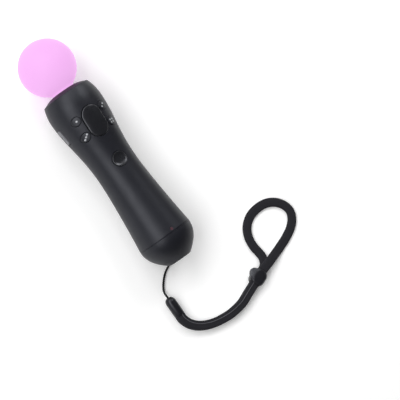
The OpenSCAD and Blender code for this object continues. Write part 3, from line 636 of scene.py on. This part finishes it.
def cap_profile():
    """The end cap's wall: out over the tail face, up the skin, and down inside the spigot."""
    spigot_r, flat_r = body_r(CAP_H + SPIGOT_H) - WALL - SPIGOT_GAP, TAIL_FACE_R - TAIL_EDGE
    inner_r = spigot_r - SPIGOT_T
    profile = [(0.0, 0.0), (flat_r, 0.0)]
    for a in (30, 60):
        profile.append((flat_r + TAIL_EDGE * sin(radians(a)), fillet(TAIL_EDGE_RISE, a)[0]))
    profile += [(body_r(z), z) for z in evenly(TAIL_FROM, CAP_H - EDGE, 40)]
    for a in (60, 30, 0):
        drop, draw = fillet(EDGE, a)
        profile.append((TAIL_R - draw, CAP_H - drop))
    profile += [(spigot_r, CAP_H), (spigot_r, CAP_H + SPIGOT_H),
                (inner_r, CAP_H + SPIGOT_H), (inner_r, CAP_H - SPIGOT_FOOT)]
    profile += [(body_r(z) - WALL, z) for z in evenly(CAP_H - CAP_INSIDE, CAP_FLOOR, 12)]
    return profile + [(0.0, CAP_FLOOR)]


def end_cap():
    obj = add_mesh("end_cap_shell", *spun(cap_profile(), CAP_TURNS))
    out, across, sideways = Vector((-1, 0, -1)), Vector((1, 0, -1)), Vector((0, 1, 0))
    eye = Vector((EYE_IN - body_r(EYE_Z), 0, EYE_Z))
    eye_seat = Seat(eye - out.normalized() * EYE_FROM, out, across, sideways)
    boss_seat = Seat(eye - out.normalized() * BOSS_FROM, out, across, sideways)
    boss = [boss_seat.flat(disc(EYE_D + 2 * BOSS_WALL)(0), reach) for reach in (0, BOSS_L)]
    carve(obj, [add_mesh("strap_boss", *loft(boss))], "UNION")
    usb_x, ext_x = PORT_BACK - USB_T / 2, PORT_TOP + EXT_T / 2
    usb_hole = rounded(USB_W + PORT_GAP_W, USB_T + PORT_GAP_T, USB_CORNER)
    ext_hole = rounded(EXT_W + PORT_GAP_W, EXT_T + PORT_GAP_T, EXT_CORNER)
    pipe_hole, contact_hole = disc(2 * (LED_R + PIPE_GAP), 32), disc(CONTACT_D + CONTACT_GAP, 32)
    tools = [hole_tool("cut_eye", eye_seat, disc(EYE_D, 56), *EYE_CUT),
             hole_tool("cut_usb", tail_seat(usb_x, 0), usb_hole, *PORT_CUT),
             hole_tool("cut_ext", tail_seat(ext_x, 0), ext_hole, *PORT_CUT),
             hole_tool("cut_pipe", front_seat(0, LED_Z), pipe_hole, *PIPE_CUT)]
    for side in (-1, 1):
        contact_seat = tail_seat(usb_x, side * CONTACT_Y)
        tools.append(hole_tool("cut_contact", contact_seat, contact_hole, *CONTACT_CUT))
    carve(obj, tools)
    follow_skin(obj)
    return dress(obj, soft_black, "wand", "end_cap")


front_casing()
rear_casing()
end_cap()


# Light
def turned(name, profile, turns):
    """A piece turned about the wand's axis."""
    obj = add_mesh(name, *spun(profile, turns))
    smooth(obj, angle=32)
    return obj


def bowl(radius, start, end, steps):
    """Profile of a part of the sphere, between angles from its far pole."""
    return [(radius * sin(a), SPHERE_Z + radius * cos(a)) for a in evenly(start, end, steps)]


def light_sphere():
    flange_z, flange_r = RIM_Z - COLLAR_T - FLANGE_DROP, NECK_R + FLANGE_OUT
    inner_r, inner_neck = SPHERE_R - GLOBE_WALL, NECK_R - NECK_WALL
    outside = atan2(NECK_R, -(SPHERE_R ** 2 - NECK_R ** 2) ** 0.5)
    inside = atan2(inner_neck, -(inner_r ** 2 - inner_neck ** 2) ** 0.5)
    profile = [(inner_neck, flange_z), (flange_r, flange_z),
               (flange_r, flange_z + FLANGE_T), (NECK_R, flange_z + FLANGE_T)]
    profile += bowl(SPHERE_R, outside, 0, 72)
    profile += bowl(inner_r, 0, inside, 48)
    return dress(turned("light_globe", profile, 128), lilac_glow, "wand", "light_sphere")


def head_collar():
    inner = NECK_R + COLLAR_GAP
    profile = [(COLLAR_R, RIM_Z - COLLAR_T), (COLLAR_R, RIM_Z - COLLAR_DROP)]
    for t in evenly(0, 1, 24):
        r = mix(COLLAR_R - COLLAR_EDGE, inner + COLLAR_EDGE, t)
        profile.append((r, RIM_Z + COLLAR_RISE * sin(pi / 2 * t)))
    profile += [(inner, RIM_Z + COLLAR_RISE - COLLAR_EDGE), (inner, RIM_Z - COLLAR_T)]
    return dress(turned("collar_ring", profile, 144), collar_black, "wand", "head_collar")


light_sphere()
head_collar()


# Buttons
def dot(seat, place, lift):
    """Points and faces of a low round pip on a button's top."""
    rings = []
    for share, rise in ((1.0, -PIP_SINK), (1.0, PIP_H * 0.5), (0.8, PIP_H * 0.9), (0.35, PIP_H)):
        r = PIP_R * share
        rings.append(seat.on_skin([(place[0] + r * u, place[1] + r * v) for u, v in disc(2, 20)(0)],
                                  lift + rise))
    return loft(rings)


PIPS = [[(0.0, 0.0)],
        [(-0.95, -0.95), (0.95, 0.95)],
        [(-1.35, -1.35), (0.0, 0.0), (1.35, 1.35)],
        [(-1.05, -1.05), (-1.05, 1.05), (1.05, -1.05), (1.05, 1.05)]]


def face_buttons():
    top = FACE_PROUD + FACE_CROWN * 0.8
    for i, (y, z) in enumerate(FACE_PLACES):
        seat, body = front_seat(y, z), f"face_button_{i + 1}"
        cap = button(f"face_cap_{i + 1}", seat, disc(FACE_D), FACE_PROUD,
                     edge=0.45, skirt=4.0, crown=FACE_CROWN)
        dress(cap, button_grey, body, body)
        pips = add_mesh(f"face_pips_{i + 1}", *joined(dot(seat, place, top) for place in PIPS[i]))
        smooth(pips, angle=40)
        dress(pips, mark_grey, body)


def other_buttons():
    thumb = button("thumb_cap", front_seat(0, THUMB_Z), thumb_outline, THUMB_PROUD,
                   edge=0.7, skirt=4.0, crown=0.0)
    dress(thumb, button_black, "thumb_button", "thumb_button")
    home = button("home_cap", front_seat(0, HOME_Z), disc(HOME_D, 72), HOME_PROUD,
                  edge=0.35, skirt=4.0, crown=-HOME_DISH, rim=0.98, fullness=4.6)
    dress(home, button_black, "home_button", "home_button")
    for side, name in ((-1, "side_button_left"), (1, "side_button_right")):
        cap = button(name.replace("button", "cap"), side_seat(side), side_outline, SIDE_PROUD,
                     edge=0.35, skirt=3.0, crown=0.08)
        dress(cap, side_grey, name, name)


face_buttons()
other_buttons()


# Trigger
def trigger():
    outline = []
    for t in evenly(0, 1, 24):
        dish = TRIG_DISH * sin(pi * t)
        outline.append((mix(TRIG_X - TRIG_ROOT, TIP_X, t) + dish, mix(TRIG_Z, TIP_Z + TIP_ROUND, t)))
    outline += [(TIP_X + x, TIP_Z + z) for x, z in TIP_SHAPE]
    for a in evenly(TRIG_ROOT_FROM, pi, 30)[:-1]:
        outline.append((TRIG_X + TRIG_ROOT * cos(a), TRIG_Z + TRIG_ROOT * sin(a)))
    rings = [[row(x, y, z) for x, z in outline] for y in (-TRIG_W / 2, TRIG_W / 2)]
    obj = add_mesh("trigger_lever", *loft(rings))
    solid = bmesh.new()
    solid.from_mesh(obj.data)
    side, close = TRIG_W / 2 * MM, 1e-7
    rims = []
    for edge in solid.edges:
        a, b = (vertex.co.y for vertex in edge.verts)
        if abs(a - b) < close and abs(abs(a) - side) < close:
            rims.append(edge)
    bmesh.ops.bevel(solid, geom=rims, offset=TRIG_BEVEL * MM, segments=4, profile=0.5, affect="EDGES")
    solid.to_mesh(obj.data)
    solid.free()
    smooth(obj, angle=30)
    return dress(obj, button_black, "trigger", "trigger")


trigger()


# Wrist strap: the points repeat the route of the part's source, in metres from the tail face
SLIDE_DIR = radians(110)
SLIDE_FROM = (0.0536, 0.036)
SLIDE_REST = 0.016
FERRULE_AT = Vector((0.0195, -0.020))
LIFT = 0.0015
LOW_Z = (BAND_T / 2 + FLOOR_GAP) * MM
STEP_Z = (BAND_T + STRAND_GAP) * MM
TOP_Z = LOW_Z + LIFT + STEP_Z


def along(d):
    return SLIDE_FROM[0] + d * cos(SLIDE_DIR), SLIDE_FROM[1] + d * sin(SLIDE_DIR)


PAIR = [(FERRULE_AT.x + FERRULE_L * MM, FERRULE_AT.y, LIFT),
        (0.0394, FERRULE_AT.y, LIFT),
        (0.045, -0.0176, LIFT * 0.6),
        (0.050, -0.013, LIFT * 0.2),
        (0.0538, -0.0068, 0),
        (0.0564, 0.0006, 0),
        (0.0578, 0.0086, 0),
        (0.0582, 0.0166, LIFT * 0.6),
        (*along(-0.0095), LIFT),
        (*along(0), LIFT),
        (*along(0.012), LIFT),
        (*along(0.024), LIFT)]
LOOP = [(0.044, 0.064, TOP_Z),
        (0.0424, 0.070, mix(LOW_Z, TOP_Z, 0.8)),
        (0.041, 0.076, mix(LOW_Z, TOP_Z, 0.34)),
        (0.0394, 0.082, LOW_Z),
        (0.0362, 0.091, LOW_Z),
        (0.0324, 0.0986, LOW_Z),
        (0.0276, 0.1042, LOW_Z),
        (0.0214, 0.1072, LOW_Z),
        (0.0146, 0.106, LOW_Z),
        (0.0084, 0.101, LOW_Z),
        (0.0046, 0.0934, LOW_Z),
        (0.004, 0.0844, LOW_Z),
        (0.006, 0.076, LOW_Z),
        (0.011, 0.0692, LOW_Z),
        (0.018, 0.0652, LOW_Z),
        (0.026, 0.064, LOW_Z),
        (0.0326, 0.0648, LOW_Z),
        (0.0372, 0.065, LOW_Z + LIFT * 0.2),
        (0.041, 0.0637, LOW_Z + LIFT * 0.5),
        (0.0437, 0.0614, LOW_Z + LIFT * 0.8)]
BAR = Vector((-EYE_Z, 0, AXIS_Z + EYE_IN - body_r(EYE_Z))) * MM
STRING_Z = (STRING_D / 2 + FLOOR_GAP) * MM
FERRULE_Z = FERRULE_D / 2 * MM
TURN_R = (BAR_D / 2 + STRING_D / 2 + BAR_GAP) * MM
TURN_K = 0.79 * TURN_R
ROUND_BAR = [(-0.0002, 0, TURN_R + 0.0008),
             (-TURN_K, 0, TURN_K),
             (-TURN_R, 0, 0),
             (-TURN_K, 0, -TURN_K),
             (-0.0002, 0, -TURN_R - 0.0004),
             (0.0018, -0.0002, -TURN_R - 0.0008)]
OUT_OF_TAIL = [(-0.0026, -0.0008, 0.0046),
               (-0.0006, -0.003, 0.0024),
               (0.0016, -0.007, 0.001),
               (0.0046, -0.0112, STRING_Z),
               (0.0084, -0.015, STRING_Z),
               (0.0124, -0.018, 0.0012),
               (0.0154, -0.0196, 0.003),
               (0.0178, FERRULE_AT.y, FERRULE_Z),
               (FERRULE_AT.x, FERRULE_AT.y, FERRULE_Z)]
STRING = [BAR + Vector(p) for p in ROUND_BAR] + [Vector(p) for p in OUT_OF_TAIL]
BAND_STEP, HIGHLIGHT_SEAM_STEP, STRING_STEP = 0.00032, 0.0003, 0.0002
UP = Vector((0, 0, 1))
ACROSS_STRING = Vector((0, 1, 0.02))


def from_tail(points):
    return [Vector((p[0] + TAIL_X * MM, p[1], p[2])) for p in points]


def flowing(points, step):
    """A smooth curve through the chosen points, in short even steps."""
    fine = []
    for i in range(len(points) - 1):
        a, b = points[max(i - 1, 0)], points[i]
        c, d = points[i + 1], points[min(i + 2, len(points) - 1)]
        count = max(2, round((c - b).length / step))
        for k in range(count):
            t = k / count
            fine.append(b * 1.0 + (c - a) * (t / 2) + (a * 2 - b * 5 + c * 4 - d) * (t * t / 2)
                        + (b * 3 - a - c * 3 + d) * (t ** 3 / 2))
    return fine + [points[-1]]


def frames(path, guide):
    """For each point of a path: the run up to it, the point, the way sideways and the way up."""
    found, run = [], 0.0
    for i, p in enumerate(path):
        run += (p - path[max(i - 1, 0)]).length
        heading = (path[min(i + 1, len(path) - 1)] - path[max(i - 1, 0)]).normalized()
        sideways = guide.cross(heading).normalized()
        found.append((run, p, sideways, heading.cross(sideways)))
    return found


def thread_ring(middle, sideways, up, r, sides=8):
    """Points round the middle of a thread."""
    turns = [2 * pi * k / sides for k in range(sides)]
    return [middle + sideways * (r * cos(a)) + up * (r * sin(a)) for a in turns]


strand_up = from_tail([(x, y, z + LOW_Z + STEP_Z) for x, y, z in PAIR])
strand_low = from_tail([(x, y, z + LOW_Z) for x, y, z in PAIR])
band_path = flowing(strand_up + from_tail(LOOP) + strand_low[::-1], BAND_STEP)
string_path = flowing(from_tail(STRING), STRING_STEP)


def wrist_band():
    """Flat woven tape with full edges and a herringbone of fine ribs across it."""
    sides, pitch, rise, slant, fade = 28, 0.0011, 0.00007, 1.6, 6
    square_across, square_high = 0.75, 0.62
    half_w, half_t = BAND_W / 2 * MM, BAND_T / 2 * MM
    rings = []
    for run, p, sideways, up in frames(band_path, UP):
        ring = []
        for k in range(sides):
            a = 2 * pi * (k + 0.5) / sides
            across = copysign(abs(cos(a)) ** square_across, cos(a))
            high = copysign(abs(sin(a)) ** square_high, sin(a))
            rib = sin(2 * pi * (run / pitch + abs(across) * slant)) * (1 - abs(across) ** fade)
            ring.append(p + sideways * (across * half_w) + up * (high * (half_t - rise + rise * rib)))
        rings.append(ring)
    obj = add_mesh("band_tape", *loft(rings))
    smooth(obj, angle=60)
    return dress(obj, band_cloth, "wand", "wrist_band")


def band_highlight_seam():
    """A fine light grey stitched seam along the upper strand, from the ferrule to the slider's way; its
    light grey is a painted highlight along the strand.
    """
    offset, stitch, sink, r = 0.0012, 0.0021, 0.00012, 0.00027
    rings = []
    for run, p, sideways, up in frames(flowing(strand_up[:-1], HIGHLIGHT_SEAM_STEP), UP):
        rise = BAND_T / 2 * MM - sink + sink * abs(sin(pi * run / stitch))
        rings.append(thread_ring(p + sideways * offset + up * rise, sideways, up, r))
    obj = add_mesh("band_highlight_seam", *loft(rings))
    smooth(obj, angle=60)
    return dress(obj, highlight_thread_grey, "wand")


def strap_string():
    """Three plies laid round each other."""
    plies, twist = 3, 0.0052
    ply_r, lay_r = STRING_D * 0.28 * MM, STRING_D * 0.22 * MM
    skins = []
    for ply in range(plies):
        rings = []
        for run, p, sideways, up in frames(string_path, ACROSS_STRING):
            turn = 2 * pi * (run / twist + ply / plies)
            middle = p + sideways * (lay_r * cos(turn)) + up * (lay_r * sin(turn))
            rings.append(thread_ring(middle, sideways, up, ply_r))
        skins.append(loft(rings))
    obj = add_mesh("string_cord", *joined(skins))
    smooth(obj, angle=60)
    return dress(obj, cord_cloth, "wand", "strap_string")


def strap_ferrule():
    """A smooth moulded sleeve with a round nose and a crisp mouth for the tape."""
    centre = from_tail([(FERRULE_AT.x, FERRULE_AT.y, FERRULE_Z)])[0]
    r, tip_r, nose_r = FERRULE_D / 2, 0.9, 1.1
    profile = [(0.0, 0.0), (tip_r, 0.0)]
    for a in range(0, 91, 10):
        profile.append((mix(nose_r, r, sin(radians(a))), fillet(FERRULE_NOSE, a)[0]))
    profile += [(r - inset, FERRULE_L - back) for inset, back in ((0.0, 0.6), (0.15, 0.2), (0.45, 0.0))]
    profile.append((0.0, FERRULE_L))
    skin = spun(profile, 72, lambda y, z, run: centre + Vector((run, y, z)) * MM)
    obj = add_mesh("ferrule_sleeve", *skin)
    smooth(obj, angle=35)
    return dress(obj, strap_black, "wand", "strap_ferrule")


def slider_point(a, b, c):
    """A point of the slider: a along the strands, b to their left and c up, in millimetres."""
    x, y = along(SLIDE_REST)
    heading = Vector((cos(SLIDE_DIR), sin(SLIDE_DIR), 0))
    left = Vector((-sin(SLIDE_DIR), cos(SLIDE_DIR), 0))
    return from_tail([(x, y, 0)])[0] + (heading * a + left * b + Vector((0, 0, c))) * MM


SLIDER_TOP = (TOP_Z + LOW_Z + LIFT) / MM - SLIDER_DROP


def slider_block():
    """A domed block with a mouth for both strands."""
    outline = rounded(SLIDER_L, SLIDER_W, SLIDER_CORNER, 72)
    rings = []
    for a in (0, 30, 60, 90):
        rise, inset = fillet(SLIDER_FOOT, a)
        rings.append([slider_point(u, v, FLOOR_GAP + rise) for u, v in outline(-inset)])
    for a in (90, 75, 60, 45, 30, 15, 0):
        drop, inset = fillet(SLIDER_BROW, a)
        rings.append([slider_point(u, v, SLIDER_TOP - drop) for u, v in outline(-inset)])
    obj = add_mesh("slider_block", *loft(rings))
    low = (LOW_Z + LIFT) / MM - BAND_T / 2 - MOUTH_GAP_T
    high = TOP_Z / MM + BAND_T / 2 + MOUTH_GAP_T
    mouth, inside = rounded(BAND_W + MOUTH_GAP_W, high - low, MOUTH_CORNER, 40), SLIDER_L / 2 - MOUTH_LIP
    tool = []
    for a, flare in ((-MOUTH_REACH, MOUTH_FLARE), (-inside, 0.0), (inside, 0.0), (MOUTH_REACH, MOUTH_FLARE)):
        tool.append([slider_point(a, u, (low + high) / 2 + v) for u, v in mouth(flare)])
    carve(obj, [add_mesh("cut_mouth", *loft(tool))])
    smooth(obj, angle=35)
    return dress(obj, strap_black, "strap_slider", "strap_slider")


# Rings of the latch: a height for the level ones, or a drop under the sloping top, and an inset
LATCH_RINGS = ((4.2, None, 0.4), (4.5, None, 0.0), (None, 0.7, 0.0), (None, 0.25, 0.15), (None, 0.0, 0.6))


def slider_latch():
    """A rounded latch on the slider's side, sloping away from it."""
    wing = [(LATCH_HALF * cos(t) + LATCH_SKEW * sin(t), LATCH_FROM + LATCH_OUT * sin(t))
            for t in evenly(0, pi, 28)]
    middle = [sum(values) / len(wing) for values in zip(*wing)]
    rings = []
    for level, drop, inset in LATCH_RINGS:
        ring = []
        for u, v in wing:
            away = hypot(u - middle[0], v - middle[1])
            share = (away - inset) / away
            height = level or SLIDER_TOP - LATCH_SLOPE * (v - LATCH_FROM) - drop
            ring.append(slider_point(mix(middle[0], u, share), mix(middle[1], v, share), height))
        rings.append(ring)
    obj = add_mesh("slider_latch", *loft(rings))
    smooth(obj, angle=30)
    return dress(obj, strap_grey, "strap_slider")


band = wrist_band()
highlight_seam = band_highlight_seam()
string = strap_string()
ferrule = strap_ferrule()
slider = slider_block()
latch = slider_latch()


# Studio, in metres and watts
FLOOR_SIZE, PAPER, PAPER_LIFT = 40, 0.97, 0.15
WORLD_STRENGTH = 0.16


def whiten(tree, shader, strength):
    """Lifts the paper to white where it is seen, directly or mirrored, and lights nothing."""
    rays = tree.nodes.new("ShaderNodeLightPath")
    seen = rays.outputs["Is Camera Ray"]
    for kind in ("Is Glossy Ray", "Is Transmission Ray"):
        either = tree.nodes.new("ShaderNodeMath")
        either.operation = "MAXIMUM"
        tree.links.new(seen, either.inputs[0])
        tree.links.new(rays.outputs[kind], either.inputs[1])
        seen = either.outputs["Value"]
    lift = spread(tree, seen, 0.0, strength, from_low=0.0, from_high=1.0)
    tree.links.new(lift, shader.inputs["Emission Strength"])


def add_floor():
    bpy.ops.mesh.primitive_plane_add(size=FLOOR_SIZE)
    floor = bpy.context.object
    floor.name = "floor"
    material, tree, shader, coords = new_material("floor_paper")
    shader.inputs["Base Color"].default_value = (PAPER, PAPER, PAPER, 1)
    shader.inputs["Specular IOR Level"].default_value = 0.0
    whiten(tree, shader, PAPER_LIFT)
    tree.links.new(spread(tree, noise(tree, coords, 40.0), 0.85, 0.95), shader.inputs["Roughness"])
    floor.data.materials.append(material)


def add_lamp(name, place, length, width, power):
    """A softbox facing the wand."""
    data = bpy.data.lights.new(name, "AREA")
    data.shape = "RECTANGLE"
    data.size = length
    data.size_y = width
    data.energy = power
    lamp = bpy.data.objects.new(name, data)
    scene.collection.objects.link(lamp)
    lamp.location = place
    lamp.rotation_euler = (TARGET - Vector(place)).to_track_quat("-Z", "Y").to_euler()


def add_world():
    world = bpy.data.worlds.new("studio")
    world.use_nodes = True
    background = world.node_tree.nodes["Background"]
    background.inputs["Color"].default_value = (1, 1, 1, 1)
    background.inputs["Strength"].default_value = WORLD_STRENGTH
    scene.world = world


add_floor()
add_lamp("key", (-0.36, -0.85, 0.99), length=1.9, width=0.8, power=19)
add_lamp("fill", (-0.70, 0.94, 0.85), length=0.64, width=1.0, power=9)
add_lamp("crown", (-0.97, 0.02, 1.05), length=0.5, width=0.64, power=4.2)
add_world()
scene.view_settings.view_transform = "Standard"
